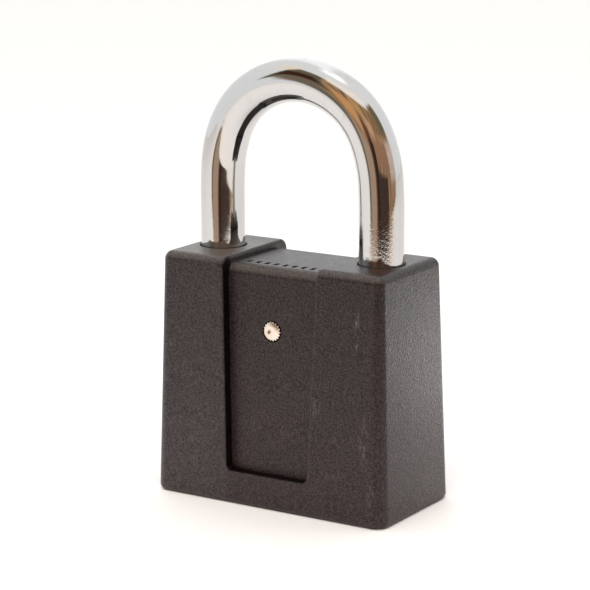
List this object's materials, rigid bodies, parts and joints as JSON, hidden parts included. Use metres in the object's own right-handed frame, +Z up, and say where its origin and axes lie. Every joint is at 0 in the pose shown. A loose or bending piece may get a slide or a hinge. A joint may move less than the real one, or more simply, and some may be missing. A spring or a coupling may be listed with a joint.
{
  "type": "disc padlock",
  "caption": "Closed-body disc padlock: tapered black case with a recessed centre panel, chromed round-bar shackle held by two balls, and a disc-detainer cylinder keyed from below.",
  "frame": {"origin": "centre of the case's underside, on the cylinder's axis", "axes": "+Z up along the shackle legs; -Y is the front face with the round pin head; +X towards the toe leg"},
  "size_m": [0.066, 0.0334, 0.1088],
  "materials": {
    "case_black": "fine textured black powder coat on cast metal, lightly scuffed",
    "body_black": "fine textured black coat on steel",
    "cover_black": "fine textured black coat on a steel plate",
    "chrome": "polished chrome plate on hardened steel bar",
    "screw_steel": "dark zinc-plated",
    "pin_copper": "rose-coloured copper alloy, knurled rim",
    "housing_brass": "turned",
    "drum_brass": "turned",
    "disc_brass": "stamped and tumbled",
    "spacer_steel": "stamped spring steel",
    "hard_steel": "ground and polished hardened steel",
    "cam_steel": "sintered steel, as hardened",
    "plate_steel": "turned hardened steel",
    "spring_steel": "spring wire and strip"
  },
  "bodies": {
    "case": {"jacket": "case_black", "lock_body": "body_black", "bottom_cover": "cover_black", "cover_screw_left": "screw_steel", "cover_screw_right": "screw_steel", "retaining_pin": "pin_copper", "cylinder_housing": "housing_brass", "core_retaining_ring": "spring_steel", "shackle_spring": "spring_steel"},
    "shackle": {"shackle": "chrome"},
    "core": {"disc_core": "drum_brass", "keyway_plate": "plate_steel", "sidebar": "cam_steel", "thrust_washer": "spacer_steel", "ball_cam": "cam_steel", "disc_1": "disc_brass", "disc_2": "disc_brass", "disc_3": "disc_brass", "disc_4": "disc_brass", "disc_5": "disc_brass", "disc_6": "disc_brass", "disc_7": "disc_brass", "disc_8": "disc_brass", "disc_9": "disc_brass", "disc_10": "disc_brass", "disc_11": "disc_brass", "disc_spacer_1": "spacer_steel", "disc_spacer_2": "spacer_steel", "disc_spacer_3": "spacer_steel", "disc_spacer_4": "spacer_steel", "disc_spacer_5": "spacer_steel", "disc_spacer_6": "spacer_steel", "disc_spacer_7": "spacer_steel", "disc_spacer_8": "spacer_steel", "disc_spacer_9": "spacer_steel", "disc_spacer_10": "spacer_steel"},
    "toe_ball": {"ball_toe": "hard_steel"},
    "heel_ball": {"ball_heel": "hard_steel"}
  },
  "joints": [
    {"name": "shackle_slide", "type": "slide", "parent": "case", "child": "shackle", "axis": [0, 0, 1], "range_m": [0, 0.015], "stiffness_N_per_m": 150, "springref_m": 0.03, "deforming": ["shackle_spring"]},
    {"name": "core_turn", "type": "hinge", "parent": "case", "child": "core", "pos_m": [0, 0, 0.03], "axis": [0, 0, 1], "range_deg": [0, 90]},
    {"name": "toe_ball_slide", "type": "slide", "parent": "case", "child": "toe_ball", "axis": [1, 0, 0], "range_m": [0, 0.0022]},
    {"name": "heel_ball_slide", "type": "slide", "parent": "case", "child": "heel_ball", "axis": [-1, 0, 0], "range_m": [0, 0.0022]}
  ],
  "couplings": [
    {"joint": "toe_ball_slide", "follows": "core_turn", "m_per_rad": 0.0014},
    {"joint": "heel_ball_slide", "follows": "core_turn", "m_per_rad": 0.0014}
  ]
}
